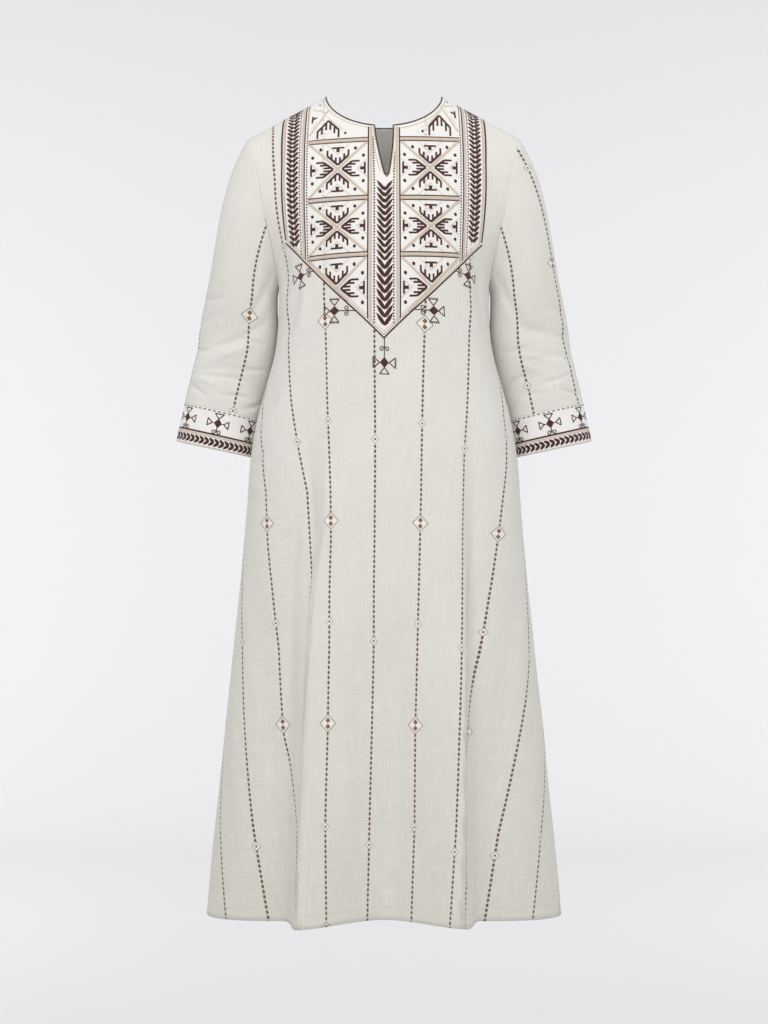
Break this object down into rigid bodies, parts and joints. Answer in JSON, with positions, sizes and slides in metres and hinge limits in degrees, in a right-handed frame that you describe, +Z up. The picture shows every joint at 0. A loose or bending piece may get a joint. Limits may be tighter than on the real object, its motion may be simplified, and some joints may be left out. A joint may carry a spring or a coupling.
{
  "type": "kurta tunic",
  "caption": "Long A-line kurta tunic in striped cloth, worn and hollow, with a round neck and short V slit, an embroidered bib and three-quarter sleeves with embroidered cuff bands.",
  "frame": {"origin": "midway between the high points of the two shoulders, where the wearer carries the garment", "axes": "+Z up along the body, the wearer faces -Y, +X towards the right edge of the garment as seen from the front"},
  "size_m": [0.619, 0.3793, 1.2056],
  "materials": {
    "striped_cloth": "natural off-white linen and cotton cloth with slubs, matt, with dotted brown stripes and small diamonds",
    "cuff_ground": "near-white plain weave under flat embroidery, matt",
    "maroon_piping": "dark maroon cotton bias piping, matt",
    "maroon_thread": "dark maroon embroidery thread with a soft sheen",
    "beige_thread": "beige embroidery thread with a soft sheen"
  },
  "bodies": {
    "root": {"front": "striped_cloth", "back": "striped_cloth", "sleeve_left": "striped_cloth", "sleeve_right": "striped_cloth", "cuff_left": "cuff_ground", "cuff_right": "cuff_ground", "neck_piping": "maroon_piping"}
  },
  "joints": []
}
